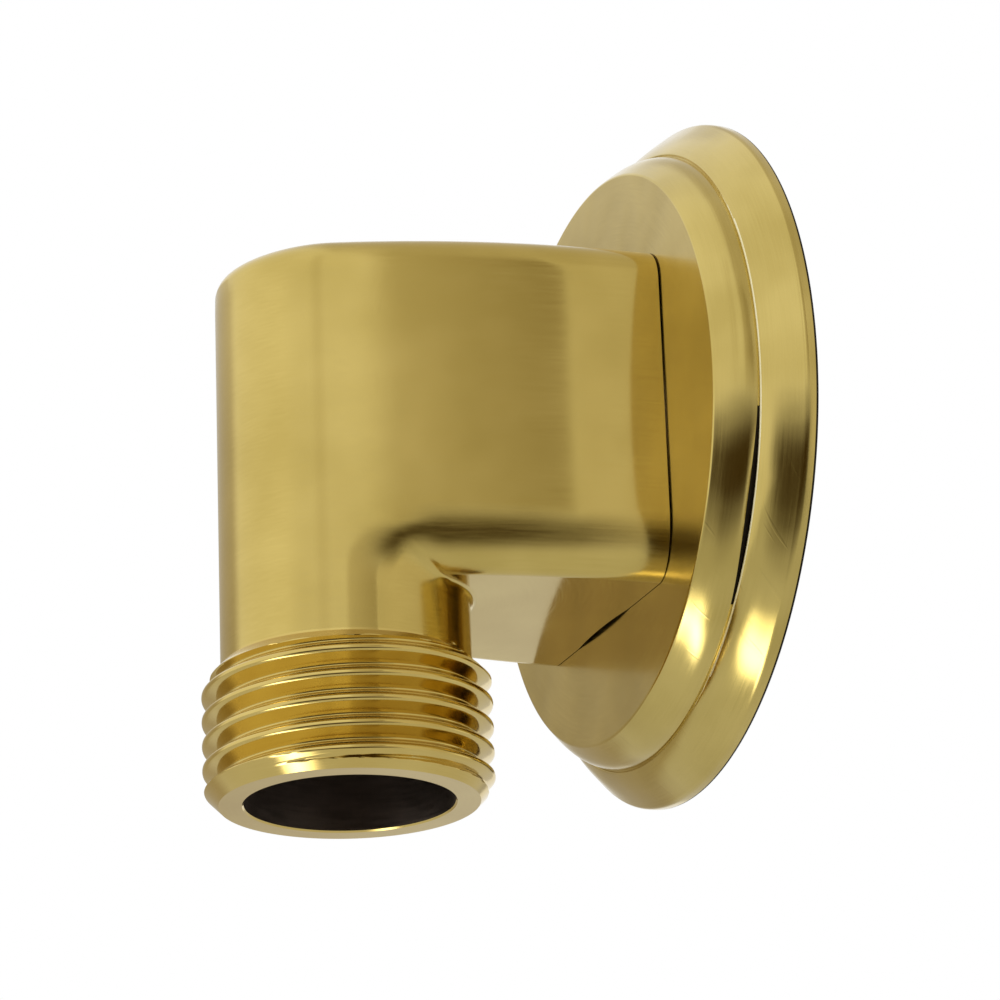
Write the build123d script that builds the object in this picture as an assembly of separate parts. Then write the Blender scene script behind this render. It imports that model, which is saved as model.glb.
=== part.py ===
"""Wall outlet elbow for a hand shower: a brass elbow body seated on a stepped round wall flange.

The wall is the plane Y = 0. The inlet runs into the wall along +Y and the hose outlet points down, along -Z.
The origin is the centre of the flange's back. All sizes are in millimetres.
"""

from build123d import *
import os
from math import hypot, radians, tan

# Wall flange, turned about the inlet axis
FLANGE_DIAMETER = 51.6
FLANGE_HEIGHT = 6.3
EDGE_HEIGHT = 0.9
SHOULDER_WIDTH = 1.9
SHOULDER_HEIGHT = 3.25
GROOVE_WIDTH = 0.25
GROOVE_DEPTH = 0.5
BOSS_STEP = 0.4
BOSS_RIM_WIDTH = 2.15
BOSS_BULGE = 0.16
FLANGE_WALL = 1.8
RIM_WALL = 2.0

# Half-inch pipe thread, on the hose outlet and on the nipple that the wall's pipe ends in
THREAD_DIAMETER = 20.955
TAPPING_DIAMETER = 18.63
NIPPLE_CLEARANCE = 0.5

# Elbow block: a round nose whose sides sweep out to the back
OUTLET_DISTANCE = 26.8
NOSE_DIAMETER = 18.15
BACK_WIDTH = 25.7
BLOCK_TOP = 12.75
BLOCK_BOTTOM = -13.0
TOP_ROUNDING = 3.6
BOTTOM_ROUNDING = 2.75
NECK_FILLET = 0.5
BACK_LAND = 0.35
BACK_HOLLOW = 0.65

# Hose outlet below the block: a neck as wide as the nose, then the thread's blank
NECK_LENGTH = 4.8
OUTLET_LENGTH = 10.2
END_CHAMFER = 1.1

# Waterway: a tapped inlet, a narrower passage and the bore drilled up from the outlet
WATERWAY_WALL = 1.5
MOUTH_CHAMFER = 0.15
DRILL_POINT_ANGLE = 118.0
BORE_OVERRUN = 0.6
INLET_CHAMFER = 1.1
INLET_FLOOR = 1.4
PASSAGE_STEP = 2.3

# Sizes that follow from the ones above
NOSE = NOSE_DIAMETER / 2
THREAD = THREAD_DIAMETER / 2
BORE = NOSE - WATERWAY_WALL
PASSAGE = BORE - PASSAGE_STEP
OUTLET_SHOULDER = BLOCK_BOTTOM - NECK_LENGTH
OUTLET_END = OUTLET_SHOULDER - OUTLET_LENGTH


def block_plan():
    """The block seen from above: a nose arc and two side arcs that meet the back at right angles."""
    half_back = BACK_WIDTH / 2
    length = OUTLET_DISTANCE - FLANGE_HEIGHT
    side_radius = (half_back**2 + length**2 - NOSE**2) / (2 * (half_back - NOSE))
    # The side arc and the nose arc touch on the line through their two centres.
    share = NOSE / (side_radius - NOSE)
    touch_x = (side_radius - half_back) * share
    touch_y = -OUTLET_DISTANCE - length * share
    back_right = (half_back, -FLANGE_HEIGHT)
    back_left = (-half_back, -FLANGE_HEIGHT)
    nose_tip = (0, -OUTLET_DISTANCE - NOSE)
    back = Line(back_left, back_right)
    right = RadiusArc(back_right, (touch_x, touch_y), side_radius)
    front = ThreePointArc((touch_x, touch_y), nose_tip, (-touch_x, touch_y))
    left = RadiusArc((-touch_x, touch_y), back_left, side_radius)
    return make_face([back, right, front, left])


def elbow_block():
    """The forged block, rounded along its top and bottom but square where it meets the flange."""
    block = Pos(0, 0, BLOCK_BOTTOM) * extrude(block_plan(), BLOCK_TOP - BLOCK_BOTTOM)
    top = block.edges().group_by(Axis.Z)[-1].sort_by(Axis.Y)[:-1]
    block = fillet(top, TOP_ROUNDING)
    bottom = block.edges().group_by(Axis.Z)[0].sort_by(Axis.Y)[:-1]
    return fillet(bottom, BOTTOM_ROUNDING)


def outlet_spout():
    """The neck and the thread's blank with its end chamfer, turned about the outlet axis, up into the block."""
    profile = Polyline(
        (0, OUTLET_END),
        (THREAD - END_CHAMFER, OUTLET_END),
        (THREAD, OUTLET_END + END_CHAMFER),
        (THREAD, OUTLET_SHOULDER - (THREAD - NOSE)),
        (NOSE, OUTLET_SHOULDER),
        (NOSE, 0),
        (0, 0),
        close=True,
    )
    return Pos(0, -OUTLET_DISTANCE, 0) * revolve(Plane.XZ * make_face(profile), Axis.Z)


def neck_seam(body):
    """The arc where the neck leaves the block's flat underside."""
    low = BLOCK_BOTTOM - NECK_FILLET / 2
    high = BLOCK_BOTTOM + NECK_FILLET / 2
    arcs = body.edges().filter_by(GeomType.CIRCLE).filter_by_position(Axis.Z, low, high)
    return arcs.sort_by(lambda arc: abs(arc.radius - NOSE))[0]


def forging():
    """The block and the spout in one piece, with a small fillet where the neck meets the underside."""
    joined = elbow_block() + outlet_spout()
    blended = fillet(neck_seam(joined), NECK_FILLET)
    # The fillet fades out along the nose, so one side is cut first and the other is its exact mirror image.
    half = split(blended, bisect_by=Plane.YZ, keep=Keep.TOP)
    return half + mirror(half, about=Plane.YZ)


def outlet_bore():
    """The bore drilled up past the passage, with a broken mouth and a drill point at its top."""
    top = PASSAGE + BORE_OVERRUN
    point = BORE / tan(radians(DRILL_POINT_ANGLE / 2))
    profile = Polyline(
        (0, OUTLET_END),
        (BORE + MOUTH_CHAMFER, OUTLET_END),
        (BORE, OUTLET_END + MOUTH_CHAMFER),
        (BORE, top),
        (0, top + point),
        close=True,
    )
    return Pos(0, -OUTLET_DISTANCE, 0) * revolve(Plane.XZ * make_face(profile), Axis.Z)


def inlet_bore():
    """The tapping bore in the block's back and the narrower passage from it to the outlet bore."""
    tapped = TAPPING_DIAMETER / 2
    mouth = -FLANGE_HEIGHT
    # The tapped bore stops short of the outlet bore and leaves a floor between the two.
    floor = BORE + INLET_FLOOR - OUTLET_DISTANCE
    profile = Polyline(
        (0, mouth),
        (tapped + INLET_CHAMFER, mouth),
        (tapped, mouth - INLET_CHAMFER),
        (tapped, floor),
        (PASSAGE, floor),
        (PASSAGE, -OUTLET_DISTANCE),
        (0, -OUTLET_DISTANCE),
        close=True,
    )
    return revolve(make_face(profile), Axis.Y)


def corner_reach(rounding, height):
    """How far a rounded corner of the block's back lies from the inlet axis."""
    return hypot(BACK_WIDTH / 2 - rounding, height - rounding) + rounding


def back_hollow():
    """The shallow dish turned into the block's back, which leaves its four corners to seat on the flange."""
    top = corner_reach(TOP_ROUNDING, BLOCK_TOP)
    bottom = corner_reach(BOTTOM_ROUNDING, -BLOCK_BOTTOM)
    seat = min(top, bottom) - BACK_LAND
    radius = (seat**2 + BACK_HOLLOW**2) / (2 * BACK_HOLLOW)
    return Pos(0, radius - BACK_HOLLOW - FLANGE_HEIGHT, 0) * Sphere(radius)


def elbow_body():
    """The brass elbow: the forging, bored through and dished at the back."""
    return forging() - outlet_bore() - inlet_bore() - back_hollow()


def wall_flange():
    """The brass wall flange: a boss with a rounded rim, a groove, a shoulder, an edge and a hollow back."""
    outer = FLANGE_DIAMETER / 2
    shoulder = outer - SHOULDER_WIDTH
    groove = shoulder - GROOVE_WIDTH
    boss = groove - BOSS_RIM_WIDTH
    hole = THREAD + NIPPLE_CLEARANCE
    boss_foot = SHOULDER_HEIGHT + BOSS_STEP
    groove_floor = SHOULDER_HEIGHT - GROOVE_DEPTH
    boss_rim = SagittaArc((boss, -FLANGE_HEIGHT), (groove, -boss_foot), -BOSS_BULGE)
    groove_and_shoulder = Polyline(
        (groove, -boss_foot),
        (groove, -groove_floor),
        (shoulder, -groove_floor),
        (shoulder, -SHOULDER_HEIGHT),
        (outer, -EDGE_HEIGHT),
        (outer, 0),
    )
    # The back is hollow, so that a rim alone bears on the wall.
    back = Polyline(
        (outer, 0),
        (outer - RIM_WALL, 0),
        (outer - RIM_WALL, FLANGE_WALL - groove_floor),
        (boss - FLANGE_WALL, FLANGE_WALL - groove_floor),
        (boss - FLANGE_WALL, FLANGE_WALL - FLANGE_HEIGHT),
        (hole, FLANGE_WALL - FLANGE_HEIGHT),
        (hole, -FLANGE_HEIGHT),
        (boss, -FLANGE_HEIGHT),
    )
    return revolve(make_face([boss_rim, groove_and_shoulder, back]), Axis.Y)


def main():
    """Build both pieces and write one file for each."""
    os.makedirs("parts", exist_ok=True)
    export_step(elbow_body(), "parts/elbow_body.step")
    export_step(wall_flange(), "parts/wall_flange.step")


if __name__ == "__main__":
    main()
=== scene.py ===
"""Dressed model of a brushed brass wall outlet elbow for a hand shower.

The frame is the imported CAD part: the wall is the plane Y = 0, the room is towards -Y and +Z is up.
Sizes in the classes are in millimetres and become metres when a mesh is made.
"""

import logging
import math
from dataclasses import dataclass, replace
from enum import Enum
from typing import Callable, Optional, Sequence, Union

import bmesh
import bpy
from mathutils import Matrix, Vector


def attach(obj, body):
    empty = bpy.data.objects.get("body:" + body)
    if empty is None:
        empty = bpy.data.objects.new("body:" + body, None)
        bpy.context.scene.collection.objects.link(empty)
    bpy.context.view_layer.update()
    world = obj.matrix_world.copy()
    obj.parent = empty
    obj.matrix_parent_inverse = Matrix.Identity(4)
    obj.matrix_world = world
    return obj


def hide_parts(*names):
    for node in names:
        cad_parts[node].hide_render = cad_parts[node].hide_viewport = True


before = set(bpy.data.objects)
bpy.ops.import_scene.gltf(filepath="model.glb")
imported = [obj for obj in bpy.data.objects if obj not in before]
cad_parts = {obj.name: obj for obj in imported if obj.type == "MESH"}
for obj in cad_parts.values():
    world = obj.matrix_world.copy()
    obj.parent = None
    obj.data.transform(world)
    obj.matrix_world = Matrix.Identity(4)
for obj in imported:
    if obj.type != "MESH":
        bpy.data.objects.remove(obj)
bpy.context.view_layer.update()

LOG = logging.getLogger("wall_outlet_elbow")
MM = 0.001
BODY = "root"
# Edges sharper than this many degrees stay hard.
HARD_EDGE = 38.0
# Turns a mesh made about Z so that its axis runs along the inlet, +Z becoming +Y.
TO_INLET_AXIS = Matrix.Rotation(math.radians(-90.0), 4, "X")

Material = bpy.types.Material
Mesh = bpy.types.Mesh
Object = bpy.types.Object
Socket = bpy.types.NodeSocket
Value = Union[float, Socket]
Inputs = dict[Union[str, int], object]
Triple = tuple[float, float, float]
Point = tuple[float, float]


class ElbowFinish(Enum):
    """Material slots of the elbow, in the order in which its mesh holds them."""

    SATIN = 0
    MACHINED = 1
    # Painted shade: a dark tone in the bores, the inlet passage and the dish along the seam.
    HOLLOW_SHADE = 2
    TOP = 3


class FlangeFinish(Enum):
    """Material slots of the flange, in the order in which its mesh holds them."""

    TURNED = 0
    # Painted shade in the slit and along the edge next to the wall.
    SLIT_SHADE = 1
    # A painted highlight along the lip beside the slit.
    LIP_HIGHLIGHT = 2
    FACE = 3


class Wiring:
    """Adds nodes to a node tree and fills their inputs with links or plain values."""

    def __init__(self, tree: bpy.types.NodeTree) -> None:
        """Keep the tree that the nodes go into."""
        self.tree = tree

    def node(self, kind: str, inputs: Optional[Inputs] = None, **settings: object) -> bpy.types.Node:
        """Add a node.

        Args:
            kind: The node's type name.
            inputs: Sockets or plain values, by the name or the number of their input.
            settings: Options to set on the node.

        Returns:
            The new node.
        """
        made = self.tree.nodes.new(kind)
        for name, value in settings.items():
            setattr(made, name, value)
        for key, value in (inputs or {}).items():
            if isinstance(value, Socket):
                self.tree.links.new(value, made.inputs[key])
            else:
                made.inputs[key].default_value = value
        return made

    def math(self, operation: str, *values: Value) -> Socket:
        """Add one math node, with its values in the order of its inputs."""
        return self.node("ShaderNodeMath", dict(enumerate(values)), operation=operation).outputs[0]

    def vector(self, x: Value, y: Value, z: Value) -> Socket:
        """Join three values into a vector."""
        return self.node("ShaderNodeCombineXYZ", {0: x, 1: y, 2: z}).outputs[0]

    def parts(self, vector: Socket) -> tuple[Socket, ...]:
        """Split a vector into its three values."""
        return tuple(self.node("ShaderNodeSeparateXYZ", {0: vector}).outputs)

    def noise(self, vector: Socket, scale: float, detail: float, roughness: float = 0.5) -> Socket:
        """Add a noise texture and return its value."""
        settings: Inputs = {"Vector": vector, "Scale": scale, "Detail": detail, "Roughness": roughness}
        return self.node("ShaderNodeTexNoise", settings).outputs["Fac"]

    def ranged(self, value: Socket, source: Point, target: Point = (0.0, 1.0), **settings: object) -> Socket:
        """Map a value from one range to another, limited to it.

        Args:
            value: The value to map.
            source: The range that it comes from.
            target: The range that it goes to.
            settings: Options to set on the node.

        Returns:
            The mapped value.
        """
        ends = zip(("From Min", "From Max", "To Min", "To Max"), (*source, *target))
        return self.node("ShaderNodeMapRange", {"Value": value, **dict(ends)}, **settings).outputs[0]


def fresh_wiring(owner: Union[Material, bpy.types.World]) -> Wiring:
    """Clear the nodes of a material or a world.

    Args:
        owner: The material or the world.

    Returns:
        The wiring of its empty tree.
    """
    owner.use_nodes = True
    owner.node_tree.nodes.clear()
    return Wiring(owner.node_tree)


class RoundTree:
    """A geometry node tree that wraps a grid round Z, and the way to turn it into a plain mesh."""

    WELD = 2e-7

    def __init__(self, name: str, inputs: dict[str, str]) -> None:
        """Make the tree and its sockets, with one for the material last.

        Args:
            name: The tree's name.
            inputs: Input names with the last word of their socket types.
        """
        self.tree = bpy.data.node_groups.new(name, "GeometryNodeTree")
        for label, kind in {**inputs, "Material": "Material"}.items():
            self.tree.interface.new_socket(label, in_out="INPUT", socket_type="NodeSocket" + kind)
        self.tree.interface.new_socket("Mesh", in_out="OUTPUT", socket_type="NodeSocketGeometry")
        self.wiring = Wiring(self.tree)
        self.given = self.wiring.node("NodeGroupInput").outputs

    def grid(self, columns: Socket, rows: Socket) -> tuple[Socket, Socket, Socket]:
        """Add the grid.

        Args:
            columns: Number of faces round the axis.
            rows: Number of rows of points.

        Returns:
            The grid, and each point's share of the way round and of the way up.
        """
        w = self.wiring
        made = w.node("GeometryNodeMeshGrid", {"Vertices X": w.math("ADD", columns, 1.0), "Vertices Y": rows})
        along, up, _ = w.parts(w.node("GeometryNodeInputPosition").outputs[0])
        return made.outputs["Mesh"], w.math("ADD", along, 0.5), w.math("ADD", up, 0.5)

    def wrap(self, grid: Socket, share: Socket, radius: Socket, height: Socket) -> None:
        """Put the grid's points in place, weld the seam and end in realised instances and a material.

        Args:
            grid: The grid.
            share: Each point's share of the way round.
            radius: Each point's distance from the axis.
            height: Each point's height.
        """
        w = self.wiring
        turn = w.math("MULTIPLY", share, math.tau)
        x, y = (w.math("MULTIPLY", radius, w.math(wave, turn)) for wave in ("COSINE", "SINE"))
        mesh = grid
        for kind, inputs in (
            ("SetPosition", {"Position": w.vector(x, y, height)}),
            ("MergeByDistance", {"Distance": self.WELD}),
            ("SetShadeSmooth", {}),
            ("RealizeInstances", {}),
            ("SetMaterial", {"Material": self.given["Material"]}),
        ):
            mesh = w.node("GeometryNode" + kind, {0: mesh, **inputs}).outputs[0]
        w.node("NodeGroupOutput", {0: mesh})

    def mesh(self, name: str, values: dict[str, object], base: Optional[Mesh] = None) -> Mesh:
        """Run the tree once on a throwaway object.

        Args:
            name: The new mesh's name.
            values: Input names with their values.
            base: The mesh that the tree starts from, where it needs one.

        Returns:
            A plain mesh with no modifier.
        """
        holder = link(name, base or bpy.data.meshes.new(name + "_base"))
        modifier = holder.modifiers.new(self.tree.name, "NODES")
        modifier.node_group = self.tree
        for item in self.tree.interface.items_tree:
            if item.name in values:
                modifier[item.identifier] = values[item.name]
        made = evaluated_mesh(holder)
        holder.modifiers.clear()
        bpy.data.objects.remove(holder)
        return made


class TurnedPiece(RoundTree):
    """Turns a profile about Z: the base mesh's points hold radius in X and height in Z."""

    def __init__(self) -> None:
        """Build the tree: a grid with one row for each point of the profile, wrapped round."""
        super().__init__("Turned Piece", {"Profile": "Geometry", "Segments": "Int"})
        w, profile = self.wiring, self.given["Profile"]
        rows = w.node("GeometryNodeAttributeDomainSize", {0: profile}).outputs["Point Count"]
        grid, share, rise = self.grid(self.given["Segments"], rows)
        row = w.math("ROUND", w.math("MULTIPLY", rise, w.math("SUBTRACT", rows, 1.0)))
        position = w.node("GeometryNodeInputPosition").outputs[0]
        inputs: Inputs = {"Geometry": profile, "Value": position, "Index": row}
        sample = w.node("GeometryNodeSampleIndex", inputs, data_type="FLOAT_VECTOR")
        radius, _, height = w.parts(sample.outputs["Value"])
        self.wrap(grid, share, radius, height)

    def turn(self, name: str, profile: Sequence[Point], segments: int, material: Material) -> Mesh:
        """Turn a profile.

        Args:
            name: The new mesh's name.
            profile: Radius and height of each point, in millimetres.
            segments: Faces round the axis.
            material: The material that the faces get.

        Returns:
            The turned mesh, about Z.
        """
        base = bpy.data.meshes.new(name + "_profile")
        base.from_pydata([(r * MM, 0.0, h * MM) for r, h in profile], [], [])
        return self.mesh(name, {"Segments": segments, "Material": material}, base)


@dataclass(frozen=True)
class ThreadSizes:
    """One screw thread, cut on a band between two heights. Right-handed, in millimetres.

    A limit line gives a radius at one end of the band and how fast it grows away from that end. The helix
    stays inside the low and high lines and outside the mouth line. The fill line closes the groove near the
    low end.
    """

    root: float
    depth: float
    first_crest: float
    low: float
    high: float
    low_radius: float
    low_slope: float
    high_radius: float
    high_slope: float
    mouth_radius: float = 0.0
    mouth_slope: float = 0.0
    fill_radius: float = 0.0
    fill_slope: float = 0.0
    pitch: float = 1.814
    columns: int = 240
    rows_per_turn: int = 32


class ScrewThread(RoundTree):
    """A helical ridge with rounded crests on a round band, male or female."""

    LENGTHS = (
        "Root", "Depth", "First Crest", "Low", "High", "Pitch", "Low Radius", "High Radius", "Mouth Radius",
        "Fill Radius",
    )
    SLOPES = ("Low Slope", "High Slope", "Mouth Slope", "Fill Slope")
    COUNTS = ("Columns", "Rows Per Turn")
    CREST_FLAT = 0.80
    CREST_BLEND = 0.22
    ROOT_FLAT = 0.10
    ROOT_BLEND = 0.08

    def __init__(self) -> None:
        """Build the tree: a grid wrapped round the axis, with its radius following a helix."""
        floats = dict.fromkeys(self.LENGTHS + self.SLOPES, "Float")
        super().__init__("Screw Thread", {**floats, **dict.fromkeys(self.COUNTS, "Int")})
        w, given = self.wiring, self.given
        span = w.math("SUBTRACT", given["High"], given["Low"])
        turns = w.math("ADD", w.math("DIVIDE", span, given["Pitch"]), 1.0)
        rows = w.math("CEIL", w.math("MULTIPLY", turns, given["Rows Per Turn"]))
        grid, share, rise = self.grid(given["Columns"], w.math("ADD", rows, 1.0))
        # Each row climbs one pitch in a turn, and what lies past the band's ends folds onto them.
        row = w.math("DIVIDE", w.math("MULTIPLY", rise, rows), given["Rows Per Turn"])
        climb = w.math("ADD", row, w.math("SUBTRACT", share, 1.0))
        height = w.math("MULTIPLY_ADD", climb, given["Pitch"], given["Low"])
        height = w.math("MINIMUM", w.math("MAXIMUM", height, given["Low"]), given["High"])
        self.wrap(grid, share, self._limit(self._helix(height, share), height), height)

    def _helix(self, height: Socket, share: Socket) -> Socket:
        """Radius of the endless thread.

        Args:
            height: Height along the axis.
            share: Share of a turn round the axis.

        Returns:
            The thread's radius there.
        """
        w, given = self.wiring, self.given
        turns = w.math("DIVIDE", w.math("SUBTRACT", height, given["First Crest"]), given["Pitch"])
        fraction = w.math("FRACT", w.math("SUBTRACT", turns, share))
        ridge = w.math("ABSOLUTE", w.math("MULTIPLY_ADD", fraction, 2.0, -1.0))
        ridge = w.math("SMOOTH_MIN", ridge, self.CREST_FLAT, self.CREST_BLEND)
        ridge = w.math("SMOOTH_MAX", ridge, self.ROOT_FLAT, self.ROOT_BLEND)
        scale = 1.0 / (self.CREST_FLAT - self.ROOT_FLAT)
        rise = w.math("MULTIPLY", w.math("SUBTRACT", ridge, self.ROOT_FLAT), scale)
        return w.math("MULTIPLY_ADD", w.math("MINIMUM", rise, 1.0), given["Depth"], given["Root"])

    def _limit(self, radius: Socket, height: Socket) -> Socket:
        """Keep the thread inside its blank.

        Args:
            radius: The endless thread's radius.
            height: Height along the axis.

        Returns:
            The radius, cut by the lines at the band's ends.
        """
        w, given = self.wiring, self.given
        above = w.math("SUBTRACT", height, given["Low"])
        below = w.math("SUBTRACT", given["High"], height)
        low, high, mouth, fill = (
            w.math("MULTIPLY_ADD", run, given[line + " Slope"], given[line + " Radius"])
            for line, run in (("Low", above), ("High", below), ("Mouth", below), ("Fill", above))
        )
        inside = w.math("MINIMUM", w.math("MINIMUM", w.math("MAXIMUM", radius, fill), low), high)
        return w.math("MAXIMUM", inside, mouth)

    def cut(self, name: str, sizes: ThreadSizes, material: Material) -> Mesh:
        """Make one band of thread.

        Args:
            name: The new mesh's name.
            sizes: The thread's sizes.
            material: The material that the faces get.

        Returns:
            The open band, about Z.
        """
        values: dict[str, object] = {"Material": material}
        for label in self.LENGTHS + self.SLOPES + self.COUNTS:
            size = getattr(sizes, label.lower().replace(" ", "_"))
            values[label] = size * MM if label in self.LENGTHS else size
        return self.mesh(name, values)


def clamp(share: float) -> float:
    """A share, limited to the range from 0 to 1."""
    return min(1.0, max(0.0, share))


def ease(share: float) -> float:
    """A share, limited to the range from 0 to 1, with a gentle start and end."""
    return clamp(share) ** 2 * (3.0 - 2.0 * clamp(share))


def spaced(start: float, end: float, steps: int) -> list[float]:
    """Evenly spaced values, both ends among them."""
    return [start + (end - start) * i / steps for i in range(steps + 1)]


def crossing(before: Callable[[float], bool], low: float, high: float, halvings: int = 60) -> float:
    """Find where a test stops being true.

    Args:
        before: The test, true below the place and false above it.
        low: A value below the place.
        high: A value above it.
        halvings: How often the range is halved.

    Returns:
        The value at which the test changes.
    """
    for _ in range(halvings):
        middle = (low + high) / 2.0
        low, high = (middle, high) if before(middle) else (low, middle)
    return (low + high) / 2.0


def heading(angle: float) -> Vector:
    """A plan direction of length 1."""
    return Vector((math.cos(angle), math.sin(angle)))


def raised(point: Vector, z: float) -> Vector:
    """A point in plan, at a height."""
    return Vector((point.x, point.y, z))


def mirrored(points: Sequence[Vector]) -> list[Vector]:
    """The same points on the other side of X = 0."""
    return [Vector((-p.x, p.y, p.z)) for p in points]


def bowed_points(start: Point, end: Point, rises: Point, steps: int) -> list[Point]:
    """Points of a shallow curve between its ends, bowed to the right of the way from start to end.

    Args:
        start: First point of the chord.
        end: Last point of the chord.
        rises: Height of the curve over its chord, as it counts at the start and at the end.
        steps: Number of parts that the chord is split into.

    Returns:
        The points, neither end among them.
    """
    (x0, y0), (x1, y1) = start, end
    chord = math.hypot(x1 - x0, y1 - y0)
    across = ((y1 - y0) / chord, -(x1 - x0) / chord)
    points = []
    for t in spaced(0.0, 1.0, steps)[1:-1]:
        lift = 4.0 * t * (1.0 - t) * (rises[0] * (1.0 - t) + rises[1] * t)
        points.append((x0 + (x1 - x0) * t + across[0] * lift, y0 + (y1 - y0) * t + across[1] * lift))
    return points


def break_corner(before: Point, corner: Point, after: Point, radius: float, steps: int = 6) -> list[Point]:
    """Points that round one corner of a profile.

    Args:
        before: The point before the corner.
        corner: The corner itself.
        after: The point after it.
        radius: The rounding's radius.
        steps: Faces along the rounding.

    Returns:
        The rounding's points, in order.
    """
    apex = Vector(corner)
    back, on = ((Vector(p) - apex).normalized() for p in (before, after))
    half = back.angle(on) / 2.0
    reach = radius / math.tan(half)
    centre = apex + (back + on).normalized() * (radius / math.sin(half))
    first, last = (apex + side * reach - centre for side in (back, on))
    sweep = first.angle_signed(last)
    return [tuple(centre + Matrix.Rotation(angle, 2) @ first) for angle in spaced(0.0, -sweep, steps)]


class Shell:
    """Collects grids of points into one mesh."""

    WELD = 2e-6
    SHORTEST = 1e-8
    LEVEL = 1e-6

    def __init__(self) -> None:
        """Start an empty mesh."""
        self.mesh = bmesh.new()

    def grid(self, rows: Sequence[Sequence[Vector]], finish: Enum, closed: bool = False) -> None:
        """Join rows of points with faces.

        Args:
            rows: Rows of equal length, in millimetres.
            finish: The faces' material slot.
            closed: True if each row runs round to its start.
        """
        made = [[self.mesh.verts.new(Vector(p) * MM) for p in row] for row in rows]
        width = len(rows[0])
        for low, high in zip(made, made[1:]):
            for i in range(width if closed else width - 1):
                j = (i + 1) % width
                face = self.mesh.faces.new((low[i], low[j], high[j], high[i]))
                face.material_index = finish.value

    def flat(self, points: Sequence[Vector], finish: Enum) -> None:
        """Add one flat face with these corners, in millimetres."""
        face = self.mesh.faces.new([self.mesh.verts.new(Vector(p) * MM) for p in points])
        face.material_index = finish.value

    def add(self, mesh: Mesh, finish: Enum) -> None:
        """Add a finished mesh.

        Args:
            mesh: The mesh to add.
            finish: The material slot of all its faces.
        """
        known = len(self.mesh.faces)
        self.mesh.from_mesh(mesh)
        self.mesh.faces.ensure_lookup_table()
        for face in self.mesh.faces[known:]:
            face.material_index = finish.value

    def weld(self) -> None:
        """Join the points where grids meet."""
        bmesh.ops.remove_doubles(self.mesh, verts=self.mesh.verts[:], dist=self.WELD)
        bmesh.ops.dissolve_degenerate(self.mesh, edges=self.mesh.edges[:], dist=self.SHORTEST)

    def rim(self, height: float) -> list[bmesh.types.BMEdge]:
        """Open edges that lie at one height, in millimetres."""
        edges = [e for e in self.mesh.edges if e.is_boundary]
        return [e for e in edges if all(abs(v.co.z - height * MM) < self.LEVEL for v in e.verts)]

    def bridge(self, low: float, high: float, finish: Enum) -> None:
        """Join the open rims at two heights, in millimetres."""
        for face in bmesh.ops.bridge_loops(self.mesh, edges=self.rim(low) + self.rim(high))["faces"]:
            face.material_index = finish.value

    def cap(self, height: float, finish: Enum) -> None:
        """Close the open rim at one height, in millimetres."""
        for face in bmesh.ops.contextual_create(self.mesh, geom=self.rim(height))["faces"]:
            face.material_index = finish.value

    def to_mesh(self, name: str, materials: Sequence[Material]) -> Mesh:
        """Turn the faces outwards, write the mesh and report the edges that don't join two faces.

        Args:
            name: The new mesh's name.
            materials: The mesh's material slots.

        Returns:
            The finished mesh.
        """
        LOG.info("%s: %d open edges", name, sum(1 for e in self.mesh.edges if not e.is_manifold))
        bmesh.ops.recalc_face_normals(self.mesh, faces=self.mesh.faces[:])
        made = bpy.data.meshes.new(name)
        self.mesh.to_mesh(made)
        self.mesh.free()
        for material in materials:
            made.materials.append(material)
        return made


def link(name: str, data: Union[Mesh, bpy.types.Camera]) -> Object:
    """Put a mesh or a camera into the scene as an object at the origin.

    Args:
        name: The new object's name.
        data: What it shows.

    Returns:
        The new object.
    """
    made = bpy.data.objects.new(name, data)
    bpy.context.scene.collection.objects.link(made)
    return made


def evaluated_mesh(obj: Object) -> Mesh:
    """Return a plain mesh of an object with its modifiers applied."""
    graph = bpy.context.evaluated_depsgraph_get()
    return bpy.data.meshes.new_from_object(obj.evaluated_get(graph), depsgraph=graph)


def apply_modifiers(obj: Object) -> None:
    """Replace an object's mesh by a plain one with its modifiers applied.

    Args:
        obj: The object.
    """
    done = evaluated_mesh(obj)
    obj.modifiers.clear()
    done.name = obj.name
    obj.data = done


def smooth_with_edges(obj: Object) -> None:
    """Shade an object smoothly, keep its hard edges, and let its large faces rule the shading.

    Args:
        obj: The object to shade.
    """
    obj.data.polygons.foreach_set("use_smooth", [True] * len(obj.data.polygons))
    obj.data.set_sharp_from_angle(angle=math.radians(HARD_EDGE))
    obj.modifiers.new("even_shading", "WEIGHTED_NORMAL").keep_sharp = True
    apply_modifiers(obj)


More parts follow.
